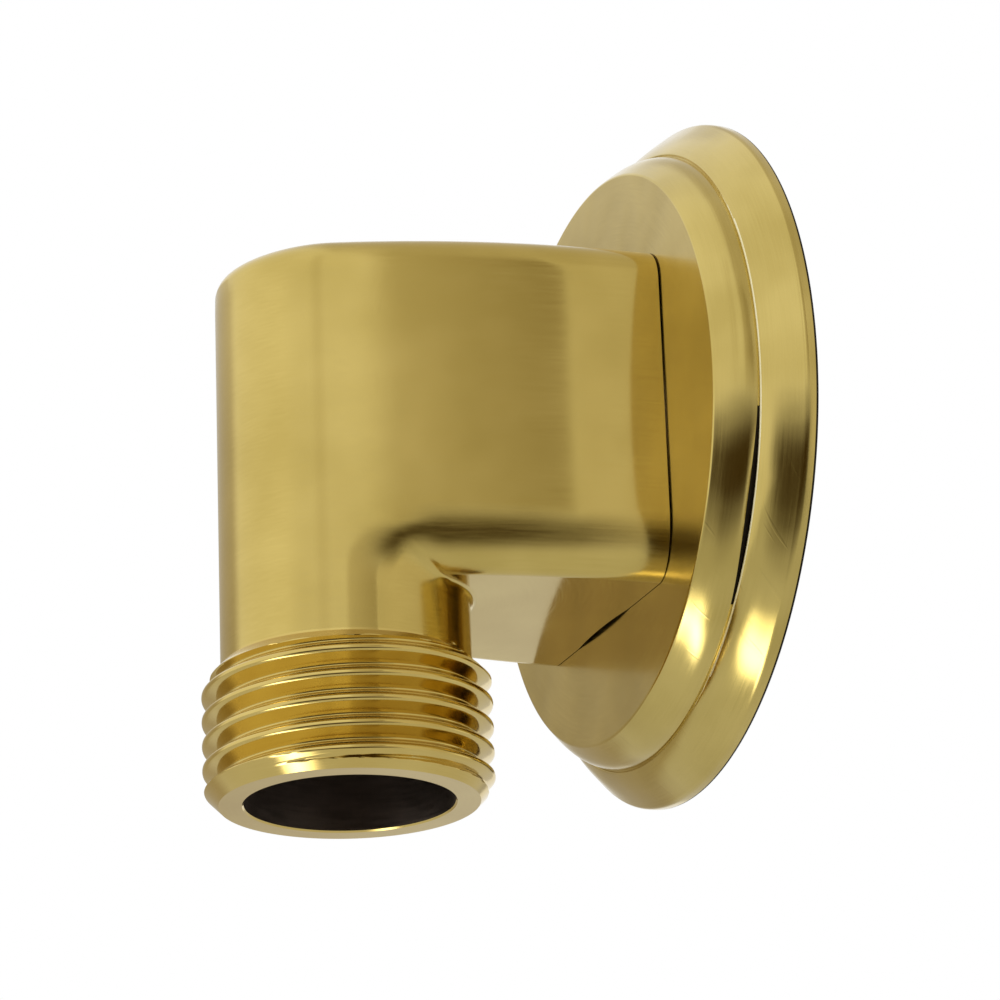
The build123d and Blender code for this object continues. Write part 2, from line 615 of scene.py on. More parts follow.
@dataclass
class WallFlange:
    """The turned wall flange: flat boss, rounded rim, slit, rounded shoulder, thin edge and hollow back.

    The slit is open round one direction only, and the lip beside it has a painted highlight round another.
    Both directions are in degrees from +X. The slit and the edge next to the wall have painted shade.
    """

    turner: TurnedPiece
    materials: Sequence[Material]
    outer: float = 25.8
    height: float = 6.3
    edge_height: float = 0.9
    shoulder_width: float = 2.68
    shoulder_height: float = 3.56
    shoulder_bulges: Point = (0.31, 0.07)
    groove_width: float = 0.06
    groove_depth: float = 0.5
    boss_rim_width: float = 1.56
    rim_bulges: Point = (0.13, 0.4)
    wall: float = 1.8
    rim_wall: float = 2.0
    hole: float = 10.9775
    boss_break: float = 0.3
    foot_break: float = 0.1
    lip_break: float = 0.14
    edge_break: float = 0.7
    back_break: float = 0.25
    slit_opening: float = 0.11
    slit_rise: float = 0.24
    slit_least: float = 0.16
    slit_direction: float = -27.0
    slit_reach: float = 20.5
    slit_fade: float = 0.8
    # Painted shade in the slit: the least opening share that gets it, its width inside the lip and its start
    # under the shoulder.
    dark_share: float = 0.03
    dark_width: float = 0.3
    dark_start: float = 0.02
    # A painted highlight along the lip: its width, the direction that it centres on and its reach and taper to
    # either side, in degrees.
    highlight_width: float = 0.25
    highlight_direction: float = -15.0
    highlight_reach: float = 60.0
    highlight_taper: float = 15.0
    margin: float = 0.01
    segments: int = 240
    bow_steps: int = 12

    def __post_init__(self) -> None:
        """Work out the slit: the radii of its outer lip and its inner foot, and the height of its floor."""
        self.lip = self.outer - self.shoulder_width
        self.foot = self.lip - self.groove_width
        self.floor = self.shoulder_height - self.groove_depth

    def profile(self) -> list[Point]:
        """Work out the profile.

        Returns:
            Its points, as radius and distance along Y, with the first one again at the end.
        """
        boss = self.foot - self.boss_rim_width
        hollow, inner = boss - self.wall, self.outer - self.rim_wall
        boss_edge, boss_foot = (boss, -self.height), (self.foot, -self.shoulder_height)
        lip, edge = (self.lip, -self.shoulder_height), (self.outer, -self.edge_height)
        slit: list[Point] = [(self.foot, -self.floor), (self.lip, -self.floor)]
        boss_rim = bowed_points(boss_edge, boss_foot, self.rim_bulges, self.bow_steps)
        shoulder = bowed_points(lip, edge, self.shoulder_bulges, self.bow_steps)
        points: list[Point] = [(self.hole, -self.height)]
        points += break_corner(points[0], boss_edge, boss_rim[0], self.boss_break) + boss_rim
        points += break_corner(boss_rim[-1], boss_foot, slit[0], self.foot_break) + slit
        points += break_corner(slit[1], lip, shoulder[0], self.lip_break) + shoulder
        points += break_corner(shoulder[-1], edge, (self.outer, 0.0), self.edge_break)
        points += break_corner(edge, (self.outer, 0.0), (inner, 0.0), self.back_break)
        points += [(inner, 0.0), (inner, self.wall - self.floor), (hollow, self.wall - self.floor)]
        points += [(hollow, self.wall - self.height), (self.hole, self.wall - self.height)]
        return points + points[:1]

    def _slit_share(self, x: float, z: float) -> float:
        """How far the slit is open in one direction from the axis, from 0 to 1."""
        away = math.degrees(math.atan2(z, x)) - self.slit_direction
        return max(0.0, 1.0 - (away / self.slit_reach) ** 2) ** 2

    def _lip_highlight_width(self, x: float, z: float) -> float:
        """Width of the lip's painted highlight in one direction from the axis, below 0 where there is none."""
        away = abs(math.degrees(math.atan2(z, x)) - self.highlight_direction)
        return self.highlight_width * min(1.0, (self.highlight_reach - away) / self.highlight_taper)

    def _open_slit(self, mesh: Mesh) -> None:
        """Leave the slit deep and open on one side only, where it shows as a dark line.

        Args:
            mesh: The turned flange, about the inlet axis.
        """
        closed = self.shoulder_height - self.slit_least
        for vertex in mesh.vertices:
            x, y, z = (v / MM for v in vertex.co)
            radius, level = math.hypot(x, z), -y
            rise = max(0.0, level - self.shoulder_height) / self.slit_fade
            near = self.foot - self.slit_fade < radius < self.lip + self.lip_break
            if not near or level < self.floor - self.margin or rise > 1.0:
                continue
            share = self._slit_share(x, z)
            if radius < self.foot + self.margin:
                pull = share * (1.0 - rise) ** 2
                vertex.co.x *= 1.0 - pull * self.slit_opening / radius
                vertex.co.z *= 1.0 - pull * self.slit_opening / radius
                level += pull * self.slit_rise if level > self.floor + self.margin else 0.0
            level += max(0.0, closed - level) * (1.0 - share)
            vertex.co.y = -level * MM

    def _mark_edges(self, shell: Shell) -> None:
        """Paint shade into the slit and along the edge next to the wall, paint a highlight along the lip, and
        give the face its own finish.

        Args:
            shell: The flange's mesh.
        """
        for face in shell.mesh.faces:
            x, y, z = (v / MM for v in face.calc_center_median())
            radius, depth = math.hypot(x, z), self.shoulder_height + y
            slit = self.lip - self.dark_width < radius < self.lip
            slit = slit and self.dark_start < depth < self.groove_depth + self.margin
            back = radius > self.outer - self.back_break and -y < self.back_break
            lit_lip = self.lip < radius < self.lip + self._lip_highlight_width(x, z) and depth < 2.0 * self.lip_break
            # Painted shade where the slit is open and on the edge next to the wall; a painted highlight on the
            # lip round one side.
            if back or (slit and self._slit_share(x, z) > self.dark_share):
                face.material_index = FlangeFinish.SLIT_SHADE.value
            elif lit_lip:
                face.material_index = FlangeFinish.LIP_HIGHLIGHT.value
            elif -y > self.height - self.margin:
                face.material_index = FlangeFinish.FACE.value

    def build(self) -> Object:
        """Turn the flange and put it on the body.

        Returns:
            The finished object.
        """
        finish = self.materials[FlangeFinish.TURNED.value]
        mesh = self.turner.turn("flange", self.profile(), self.segments, finish)
        mesh.transform(TO_INLET_AXIS)
        self._open_slit(mesh)
        shell = Shell()
        shell.add(mesh, FlangeFinish.TURNED)
        shell.weld()
        self._mark_edges(shell)
        flange = link("flange", shell.to_mesh("flange", self.materials))
        smooth_with_edges(flange)
        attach(flange, BODY)
        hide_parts("wall_flange")
        return flange


@dataclass
class ElbowBody:
    """The elbow: a block with a round nose, a neck, a male hose thread below, a female pipe thread behind."""

    turner: TurnedPiece
    threads: ScrewThread
    materials: Sequence[Material]
    back_plane: float = -6.3
    outlet_distance: float = 26.8
    nose: float = 9.075
    half_back: float = 12.85
    top: float = 12.75
    bottom: float = -13.0
    top_rounding: float = 3.6
    top_reach: float = 4.7
    top_drop: float = 3.25
    top_fullness: float = 2.5
    nose_draw: float = 0.3
    nose_lift: float = 0.3
    bottom_rounding: float = 2.75
    bottom_drop: float = 4.6
    neck_fillet: float = 0.5
    soft_start: float = 0.05
    soft_full: float = 0.5
    soft_top: float = -9.4
    soft_end: float = -14.0
    shortest_seam: float = 0.1
    back_land: float = 0.35
    back_hollow: float = 0.65
    seam_relief: float = 0.12
    least_relief: float = 0.04
    lens_relief: float = 0.26
    lens_centre: float = -0.9
    lens_reach: float = 5.0
    seam_chamfer: float = 0.2
    neck_end: float = -17.65
    bore: float = 7.575
    bore_top: float = 5.875
    bore_point: float = 10.427
    bore_overrun: float = 0.5
    mouth_chamfer: float = 0.12
    passage: float = 5.275
    back_columns: int = 26
    seam_columns: int = 30
    nose_columns: int = 34
    rear_columns: int = 40
    wall_rows: int = 14
    rounding_rows: int = 16
    fillet_rows: int = 10
    neck_rows: int = 10
    edge_columns: int = 30
    bore_segments: int = 192
    # Sizes of the dish's rings as shares of the back. The first few carry painted shade, so that the seam
    # between block and flange reads as a dark gap.
    dish_rings: tuple[float, ...] = (0.975, 0.94, 0.9, 0.85, 0.79, 0.72, 0.64, 0.55)
    dark_rings: int = 6
    outlet_thread: ThreadSizes = ThreadSizes(
        root=9.32, depth=1.1575, first_crest=-28.503, low=-28.0, high=-17.8,
        low_radius=9.3775, low_slope=1.0, high_radius=9.075, high_slope=0.95,
        fill_radius=10.33, fill_slope=-0.63,
    )
    inlet_thread: ThreadSizes = ThreadSizes(
        root=10.4775, depth=-1.1625, first_crest=-0.4, low=-11.525, high=0.5,
        low_radius=9.315, low_slope=1.2, high_radius=40.0, high_slope=0.0,
        mouth_radius=10.915, mouth_slope=-1.0, columns=120, rows_per_turn=14,
    )

    def __post_init__(self) -> None:
        """Work out the block's outline in plan, the dish in its back and the curves round its neck."""
        length = self.outlet_distance + self.back_plane
        squares = self.half_back**2 + length**2 - self.nose**2
        self.side = squares / (2.0 * (self.half_back - self.nose))
        self.side_x = self.half_back - self.side
        self.touch = math.atan2(length, self.side - self.half_back)
        self.axis = Vector((0.0, -self.outlet_distance))
        self.to_outlet = Matrix.Translation((0.0, -self.outlet_distance * MM, 0.0))
        self.top_start = self.top - self.top_drop
        self.bottom_start = self.bottom + self.bottom_drop
        corners = ((self.top_rounding, self.top), (self.bottom_rounding, -self.bottom))
        seat = min(self._corner(*corner) for corner in corners) - self.back_land
        self.dish_radius = (seat**2 + self.back_hollow**2) / (2.0 * self.back_hollow)
        # The angle on the side's arc at which the neck's fillet leaves the rounding for the flat underside.
        filleted = self.nose + self.neck_fillet
        self.leave = crossing(lambda a: self._from_axis(a, self.bottom_rounding) > filleted, 0.0, self.touch)
        self.seam_angles = spaced(self.leave, self.touch, self.seam_columns)
        self.nose_directions = spaced(-self.touch, -math.pi / 2.0, self.nose_columns)
        self.seam = [self._seam_column(angle) for angle in self.seam_angles]
        self.rear = self._rear_blend()
        self.shell = Shell()

    def _corner(self, rounding: float, height: float) -> float:
        """Distance of a rounded corner of the back from the inlet axis."""
        return math.hypot(self.half_back - rounding, height - rounding) + rounding

    def _dished(self, x: float, z: float) -> Vector:
        """Point of the dish in the back."""
        depth = math.sqrt(self.dish_radius**2 - x * x - z * z) - self.dish_radius + self.back_hollow
        return Vector((x, self.back_plane - max(0.0, depth), z))

    def _relief(self, x: float, z: float) -> float:
        """Depth at which the block's outside ends short of the flange: even at the sides, a lens below.

        Args:
            x: Place across the back.
            z: Height.

        Returns:
            The depth.
        """
        away = (x - self.lens_centre) / self.lens_reach
        lens = self.least_relief + self.lens_relief * max(0.0, 1.0 - away**2)
        low = clamp((self.bottom_start - z) / self.bottom_drop)
        return self.seam_relief + (lens - self.seam_relief) * low**2

    def _side(self, angle: float, inset: float) -> Vector:
        """Point of the right side's arc, an angle from the back and an inset from the outside."""
        radius = self.side - inset
        return Vector((self.side_x + radius * math.cos(angle), self.back_plane - radius * math.sin(angle)))

    def _from_axis(self, angle: float, inset: float) -> float:
        """Distance of a point of the right side's arc from the outlet axis."""
        return (self._side(angle, inset) - self.axis).length

    def _back_angle(self, inset: float, z: float) -> float:
        """Angle on the side's arc at which it ends at the seam."""
        return math.asin(self._relief(self.half_back - inset, z) / (self.side - inset))

    def _back_row(self, inset: float, z: float) -> list[Vector]:
        """Points of the right side at one height, from the back to where the fillet leaves."""
        angles = spaced(self._back_angle(inset, z), self.leave, self.back_columns)
        return [raised(self._side(a, inset), z) for a in angles]

    def _back_edge(self, inset: float, z: float) -> list[Vector]:
        """The edge of a flat face along the seam.

        Args:
            inset: Distance of its ends in from the block's sides.
            z: Height.

        Returns:
            Its points, from right to left.
        """
        half = self._side(self._back_angle(inset, z), inset).x
        across = spaced(half, -half, self.edge_columns)
        return [Vector((x, self.back_plane - self._relief(x, z), z)) for x in across]

    def _nose_row(self, z: float) -> list[Vector]:
        """Points round the nose at one height, from next to the right side to the tip."""
        return [raised(self.axis + heading(d) * self.nose, z) for d in self.nose_directions[1:]]

    def _outline(self, inset: float, z: float) -> list[Vector]:
        """The block's outline at one height, from the back round the nose to the back again.

        Args:
            inset: Distance in from the block's sides.
            z: Height.

        Returns:
            The points of one row.
        """
        right = self._back_row(inset, z) + [raised(self._side(a, inset), z) for a in self.seam_angles[1:]]
        for i, direction in enumerate(self.nose_directions[1:], start=1):
            # The top's rounding is drawn out and flattened towards the tip of the nose.
            share = ease(i / self.nose_columns)
            radius = self.nose - inset * (1.0 + self.nose_draw * share)
            level = self.top - (self.top - z) * (1.0 - self.nose_lift * share) if inset > 0.0 else z
            right.append(raised(self.axis + heading(direction) * radius, level))
        return right + mirrored(right[:-1])[::-1]

    def _under(self, turn: float) -> Point:
        """Inset and height of the bottom's rounding.

        Args:
            turn: Share of the rounding's turn. Past 1 the underside goes on flat.

        Returns:
            The inset from the block's side and the height.
        """
        if turn > 1.0:
            return self.bottom_rounding * turn, self.bottom
        angle = math.pi / 2.0 * turn
        inset = self.bottom_rounding * (1.0 - math.cos(angle))
        return inset, self.bottom_start - self.bottom_drop * math.sin(angle)

    def _under_point(self, angle: float, turn: float) -> Vector:
        """Point of the bottom's rounding, an angle from the back and a share of its turn."""
        inset, z = self._under(turn)
        return raised(self._side(angle, inset), z)

    def _crease(self, angle: float) -> float:
        """Share of the rounding's turn at which one column of the side would run into the neck."""
        return crossing(lambda turn: self._from_axis(angle, self._under(turn)[0]) > self.nose, 0.0, 2.0)

    def _blend(self, block: Vector, corner: Vector, neck: Vector) -> list[Vector]:
        """Points of a curve that leaves the block towards a corner and ends upright on the neck."""
        shares = spaced(0.0, 1.0, self.fillet_rows)
        return [block * (1.0 - t) ** 2 + corner * (2.0 * t * (1.0 - t)) + neck * t**2 for t in shares]

    def _seam_column(self, angle: float) -> list[Vector]:
        """One column from wall to neck: a rounding and a crisp fillet behind, one soft curve in front.

        Args:
            angle: The column's angle on the side's arc.

        Returns:
            The column's points, downwards.
        """
        crease = self._crease(angle)
        start = max(crease - self._crease(self.leave) + 1.0, crease / 2.0)
        points = [self._under_point(angle, turn) for turn in spaced(0.0, start, self.rounding_rows)]
        corner = self._under_point(angle, crease)
        fall = Vector((0.0, 0.0, (points[-1] - corner).length))
        points += self._blend(points[-1], corner, corner - fall)[1:]
        share = (angle - self.leave) / (self.touch - self.leave)
        soft = ease((share - self.soft_start) / (self.soft_full - self.soft_start))
        gap = self._under(crease)[0]
        length = self.bottom_start - points[-1].z
        column = []
        for i, point in enumerate(points):
            even = i / (len(points) - 1)
            part = (self.bottom_start - point.z) / length if length > self.shortest_seam else even
            z = self.bottom_start + (self.soft_end - self.bottom_start) * part
            down = clamp((self.soft_top - z) / (self.soft_top - self.soft_end))
            sweep = down**3 * (down * (6.0 * down - 15.0) + 10.0)
            column.append(point.lerp(raised(self._side(angle, gap * sweep), z), soft))
        return column

    def _rear_blend(self) -> list[list[Vector]]:
        """Work out the fillet between the flat underside and the neck.

        Returns:
            Its columns, from the right to the left.
        """
        start = self._side(self.leave, self.bottom_rounding) - self.axis
        first = math.atan2(start.y, start.x)
        rear = [self.seam[0][self.rounding_rows:]]
        for direction in spaced(first, math.pi - first, self.rear_columns)[1:-1]:
            out = heading(direction)
            block = raised(self.axis + out * (self.nose + self.neck_fillet), self.bottom)
            corner = raised(self.axis + out * self.nose, self.bottom)
            rear.append(self._blend(block, corner, corner - Vector((0.0, 0.0, self.neck_fillet))))
        return rear + [mirrored(rear[0])]

    def _walls(self) -> list[Vector]:
        """Add the upright walls, the top's rounding and the flat top.

        Returns:
            The right side's points along the back, upwards.
        """
        rows = [self._outline(0.0, z) for z in spaced(self.bottom_start, self.top_start, self.wall_rows)]
        power = 2.0 / self.top_fullness
        for turn in spaced(0.0, math.pi / 2.0, self.rounding_rows)[1:]:
            inset = self.top_reach * (1.0 - max(0.0, math.cos(turn)) ** power)
            rows.append(self._outline(inset, self.top_start + self.top_drop * math.sin(turn) ** power))
        self.shell.grid(rows, ElbowFinish.SATIN)
        self.shell.flat(rows[-1] + self._back_edge(self.top_reach, self.top)[::-1][1:-1], ElbowFinish.TOP)
        return [row[0] for row in rows]

    def _underside(self) -> list[Vector]:
        """Add the bottom's rounding, the fillet round the neck and the flat underside.

        Returns:
            The right side's points along the back, downwards.
        """
        rows = [self._back_row(*self._under(turn)) for turn in spaced(0.0, 1.0, self.rounding_rows)]
        levels = spaced(self.bottom_start, self.soft_end, len(self.seam[0]) - 1)
        front = [[column[i] for column in self.seam] + self._nose_row(z) for i, z in enumerate(levels)]
        for grid in (rows, front):
            self.shell.grid(grid, ElbowFinish.SATIN)
            self.shell.grid([mirrored(row) for row in grid], ElbowFinish.SATIN)
        self.shell.grid(self.rear, ElbowFinish.SATIN)
        right = rows[-1]
        edge = self._back_edge(self.bottom_rounding, self.bottom)
        ring = [points[0] for points in self.rear]
        outline = right[::-1] + edge[1:-1] + mirrored(right) + ring[::-1][1:-1]
        self.shell.flat(outline, ElbowFinish.MACHINED)
        return [row[0] for row in rows]

    def _neck(self) -> None:
        """Add the neck, from the nose and the fillet down to the thread."""
        right = [column[-1] for column in self.seam[1:]] + self._nose_row(self.soft_end)
        loop = [points[-1] for points in self.rear[::-1]] + right + mirrored(right[:-1])[::-1]
        shares = spaced(0.0, 1.0, self.neck_rows)
        rows = [[raised(p, p.z + (self.neck_end - p.z) * share) for p in loop] for share in shares]
        self.shell.grid(rows, ElbowFinish.SATIN, closed=True)

    def _back(self, right: Sequence[Vector]) -> None:
        """Add the dished back, with painted shade on the rings next to the seam.

        Args:
            right: The back's right side, upwards.
        """
        top = self._back_edge(self.top_reach, self.top)
        bottom = self._back_edge(self.bottom_rounding, self.bottom)
        loop = list(right) + top[1:-1] + mirrored(right)[::-1] + bottom[::-1][1:-1]
        inner = []
        for before, p, after in zip(loop[-1:] + loop[:-1], loop, loop[1:] + loop[:1]):
            along = Vector((after.x - before.x, after.z - before.z)).normalized()
            inner.append(self._dished(p.x - along.y * self.seam_chamfer, p.z + along.x * self.seam_chamfer))
        rows = [loop, inner]
        rows += [[self._dished(p.x * share, p.z * share) for p in inner] for share in self.dish_rings]
        # The rings next to the seam get painted shade, so that the gap between block and flange reads dark;
        # the rest is machined brass.
        self.shell.grid(rows[:self.dark_rings + 1], ElbowFinish.HOLLOW_SHADE, closed=True)
        self.shell.grid(rows[self.dark_rings:], ElbowFinish.MACHINED, closed=True)
        self.shell.flat(rows[-1], ElbowFinish.MACHINED)

    def _thread(self, name: str, sizes: ThreadSizes) -> Mesh:
        """Cut one of the two threads."""
        return self.threads.cut(name, sizes, self.materials[ElbowFinish.MACHINED.value])

    def _outside(self) -> Mesh:
        """Make the body's closed outside, thread and all, with no bores yet.

        Returns:
            A closed mesh.
        """
        upper = self._walls()
        lower = self._underside()
        self._back(lower[::-1][:-1] + upper)
        self._neck()
        thread = self._thread("outlet_thread", self.outlet_thread)
        thread.transform(self.to_outlet)
        self.shell.add(thread, ElbowFinish.MACHINED)
        self.shell.weld()
        self.shell.bridge(self.neck_end, self.outlet_thread.high, ElbowFinish.MACHINED)
        self.shell.cap(self.outlet_thread.low, ElbowFinish.MACHINED)
        return self.shell.to_mesh("elbow", self.materials)

    def _cutter(self, name: str, shell: Shell, place: Matrix) -> Object:
        """Put a cutter in its place.

        Args:
            name: The cutter's name.
            shell: Its mesh, made about Z.
            place: Where it goes.

        Returns:
            The cutter.
        """
        mesh = shell.to_mesh(name, self.materials)
        mesh.transform(place)
        return link(name, mesh)

    def _inlet_cutter(self) -> Object:
        """Make the solid that cuts the tapped inlet and the passage behind it.

        Returns:
            The cutter.
        """
        sizes = self.inlet_thread
        shell = Shell()
        shell.add(self._thread("inlet_thread", sizes), ElbowFinish.MACHINED)
        end = -self.outlet_distance - self.back_plane
        turns = spaced(0.0, math.tau, sizes.columns)[:-1]
        rings = [
            [Vector((radius * math.cos(turn), radius * math.sin(turn), z)) for turn in turns]
            for radius, z in ((sizes.low_radius, sizes.low), (self.passage, sizes.low), (self.passage, end))
        ]
        # The step, the passage and its end get painted shade.
        shell.grid(rings, ElbowFinish.HOLLOW_SHADE, closed=True)
        shell.flat(rings[-1], ElbowFinish.HOLLOW_SHADE)
        shell.weld()
        shell.cap(sizes.high, ElbowFinish.MACHINED)
        to_back = Matrix.Translation((0.0, self.back_plane * MM, 0.0))
        return self._cutter("inlet_cutter", shell, to_back @ TO_INLET_AXIS)

    def _bore_cutter(self) -> Object:
        """Make the solid that drills the outlet, mouth chamfer and drill point included.

        Returns:
            The cutter.
        """
        end, over = self.outlet_thread.low, self.bore_overrun
        mouth = end + self.mouth_chamfer
        profile = [
            (0.0, end - over), (self.bore + self.mouth_chamfer + over, end - over), (self.bore, mouth),
            (self.bore, self.bore_top), (0.0, self.bore_point),
        ]
        # The bore gets painted shade, and the faces at the mouth get machined brass.
        finish = self.materials[ElbowFinish.HOLLOW_SHADE.value]
        shell = Shell()
        shell.add(self.turner.turn("bore_cutter", profile, self.bore_segments, finish), ElbowFinish.HOLLOW_SHADE)
        shell.weld()
        for face in shell.mesh.faces:
            if face.calc_center_median().z < mouth * MM:
                face.material_index = ElbowFinish.MACHINED.value
        return self._cutter("bore_cutter", shell, self.to_outlet)

    def build(self) -> Object:
        """Make the elbow and put it on the body.

        Returns:
            The finished object.
        """
        elbow = link("elbow", self._outside())
        cutters = [self._bore_cutter(), self._inlet_cutter()]
        for cutter in cutters:
            drill = elbow.modifiers.new(cutter.name, "BOOLEAN")
            drill.operation = "DIFFERENCE"
            drill.solver = "EXACT"
            drill.object = cutter
        apply_modifiers(elbow)
        for cutter in cutters:
            bpy.data.objects.remove(cutter)
        smooth_with_edges(elbow)
        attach(elbow, BODY)
        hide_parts("elbow_body")
        return elbow


class BrushLines:
    """Shader group: fine brushed lines that run round an axis along Z, slow clouds and fine scratches."""

    INPUTS = {"Vector": "Vector", "Lines": "Float", "Spread": "Float", "Radial": "Float"}
    OUTPUTS = ("Lines", "Clouds", "Scratches")
    LEAST_RADIUS = 1e-4
    LINE_DETAIL = 3.0
    LINE_ROUGHNESS = 0.65
    CLOUD_SCALE = 130.0
    CLOUD_DETAIL = 2.0
    SCRATCH_TURN = (0.5, 0.3, 0.7)
    SCRATCH_SCALE = (3200.0, 260.0, 260.0)
    SCRATCH_RANGE = (0.69, 0.76)

    def __init__(self) -> None:
        """Build the group once."""
        self.tree = bpy.data.node_groups.new("Brush Lines", "ShaderNodeTree")
        for name, kind in self.INPUTS.items():
            self.tree.interface.new_socket(name, in_out="INPUT", socket_type="NodeSocket" + kind)
        for name in self.OUTPUTS:
            self.tree.interface.new_socket(name, in_out="OUTPUT", socket_type="NodeSocketFloat")
        w = Wiring(self.tree)
        given = w.node("NodeGroupInput").outputs
        vector = given["Vector"]
        x, y, z = w.parts(vector)
        square = w.math("MULTIPLY_ADD", x, x, w.math("MULTIPLY", y, y))
        radius = w.math("MAXIMUM", w.math("SQRT", square), self.LEAST_RADIUS)
        across = w.math("MULTIPLY", w.math("MULTIPLY_ADD", radius, given["Radial"], z), given["Lines"])
        round_x, round_y = (w.math("MULTIPLY", w.math("DIVIDE", v, radius), given["Spread"]) for v in (x, y))
        lines = w.noise(w.vector(across, round_x, round_y), 1.0, self.LINE_DETAIL, self.LINE_ROUGHNESS)
        clouds = w.noise(vector, self.CLOUD_SCALE, self.CLOUD_DETAIL)
        placed: Inputs = {"Vector": vector, "Rotation": self.SCRATCH_TURN, "Scale": self.SCRATCH_SCALE}
        marks = w.noise(w.node("ShaderNodeMapping", placed).outputs[0], 1.0, 0.0)
        scratches = w.ranged(marks, self.SCRATCH_RANGE)
        w.node("NodeGroupOutput", dict(zip(self.OUTPUTS, (lines, clouds, scratches))))


@dataclass(frozen=True)
class BrassFinish:
    """One brass finish: two tones, a roughness range and the way that its brushed lines run."""

    name: str
    light: Triple
    dark: Triple
    smooth: float
    rough: float
    lines: float
    spread: float
    radial: float
    bump: float
    anisotropy: float
    coat: float
    wave: float = 0.0
    scratches: float = 0.0
    axis: Triple = (0.0, 0.0, 0.0)
    tilt: float = 0.0
    tangent_axis: str = "Z"
    cloud_share: float = 1.5
    line_share: float = 0.5
    tone_range: Point = (0.75, 1.25)
    gloss_range: Point = (0.3, 0.7)
    bump_depth: float = 2e-5
    grain_turn: float = 0.25
    coat_roughness: float = 0.12

    def build(self, lines: BrushLines) -> Material:
        """Make the material.

        Args:
            lines: The shared group of brushed lines.

        Returns:
            The new material.
        """
        material = bpy.data.materials.new(self.name)
        w = fresh_wiring(material)
        place: Inputs = {
            "Vector": w.node("ShaderNodeTexCoord").outputs["Object"],
            "Location": self.axis,
            "Rotation": (math.radians(self.tilt), 0.0, 0.0),
        }
        brushed: Inputs = {
            "Vector": w.node("ShaderNodeMapping", place, vector_type="TEXTURE").outputs[0],
            "Lines": self.lines,
            "Spread": self.spread,
            "Radial": self.radial,
        }
        grain, clouds, scratches = w.node("ShaderNodeGroup", brushed, node_tree=lines.tree).outputs
        both = w.math("MULTIPLY_ADD", clouds, self.cloud_share, w.math("MULTIPLY", grain, self.line_share))
        tones: Inputs = {
            "Factor": w.ranged(both, self.tone_range), 6: (*self.dark, 1.0), 7: (*self.light, 1.0),
        }
        swell = w.node("ShaderNodeBump", {"Height": clouds, "Strength": 1.0, "Distance": self.wave})
        relief: Inputs = {
            "Height": w.math("MULTIPLY_ADD", scratches, self.scratches, grain),
            "Normal": swell.outputs[0],
            "Strength": self.bump,
            "Distance": self.bump_depth,
        }
        tangent = w.node("ShaderNodeTangent", direction_type="RADIAL", axis=self.tangent_axis)
        surface: Inputs = {
            "Base Color": w.node("ShaderNodeMix", tones, data_type="RGBA").outputs[2],
            "Metallic": 1.0,
            "Roughness": w.ranged(grain, self.gloss_range, (self.smooth, self.rough)),
            "Normal": w.node("ShaderNodeBump", relief).outputs[0],
            "Tangent": tangent.outputs[0],
            "Anisotropic": self.anisotropy,
            "Anisotropic Rotation": self.grain_turn,
            "Coat Weight": self.coat,
            "Coat Roughness": self.coat_roughness,
        }
        shader = w.node("ShaderNodeBsdfPrincipled", surface)
        w.node("ShaderNodeOutputMaterial", {"Surface": shader.outputs[0]})
        return material


OUTLET_AXIS = (0.0, -0.0268, 0.0)
BLOCK_FINISH = BrassFinish(
    "satin_brass", light=(0.645, 0.49, 0.14), dark=(0.555, 0.415, 0.105), smooth=0.13, rough=0.2,
    lines=6500.0, spread=6.0, radial=0.0, bump=0.06, anisotropy=0.97, coat=0.3, wave=6e-6,
    scratches=0.35, axis=OUTLET_AXIS,
)
TOP_FINISH = replace(BLOCK_FINISH, name="brushed_top", axis=(0.0, 0.0, 0.0), tilt=-90.0, tangent_axis="Y")
OUTLET_FINISH = BrassFinish(
    "machined_brass", light=(0.68, 0.52, 0.16), dark=(0.60, 0.44, 0.12), smooth=0.06, rough=0.13,
    lines=12000.0, spread=3.0, radial=0.6, bump=0.05, anisotropy=0.2, coat=0.3, axis=OUTLET_AXIS,
)
FLANGE_FINISH = BrassFinish(
    "turned_brass", light=(0.62, 0.48, 0.145), dark=(0.51, 0.385, 0.10), smooth=0.12, rough=0.2,
    lines=9000.0, spread=5.0, radial=1.0, bump=0.07, anisotropy=0.4, coat=0.3, wave=1.2e-4,
    scratches=1.6, tilt=-90.0, tangent_axis="Y",
)
FACE_FINISH = replace(FLANGE_FINISH, name="turned_face", smooth=0.2, rough=0.26, bump=0.02, scratches=0.4)
# Painted highlight: a pale, nearly white brass that stands in for the light caught by the lip beside the slit.
PAINTED_LIP_HIGHLIGHT = BrassFinish(
    "painted_lip_highlight", light=(0.95, 0.89, 0.65), dark=(0.88, 0.79, 0.47), smooth=0.42, rough=0.52,
    lines=3000.0, spread=5.0, radial=1.0, bump=0.05, anisotropy=0.0, coat=0.3, tilt=-90.0, tangent_axis="Y",
)
# Painted shade: a dark brown that stands in for the shade deep in the bores, the inlet passage and the seam's
# dish.
PAINTED_HOLLOW_SHADE = BrassFinish(
    "painted_hollow_shade", light=(0.3, 0.24, 0.2), dark=(0.2, 0.16, 0.13), smooth=0.3, rough=0.45,
    lines=6000.0, spread=3.0, radial=0.2, bump=0.1, anisotropy=0.0, coat=0.0, axis=OUTLET_AXIS,
)
# Painted shade: a near black that stands in for the shade in the flange's slit and along its edge next to the
# wall.
PAINTED_SLIT_SHADE = replace(
    PAINTED_HOLLOW_SHADE, name="painted_slit_shade", light=(0.03, 0.024, 0.016), dark=(0.015, 0.012, 0.008), smooth=0.4,
    rough=0.55, axis=(0.0, 0.0, 0.0), tilt=-90.0, tangent_axis="Y",
)
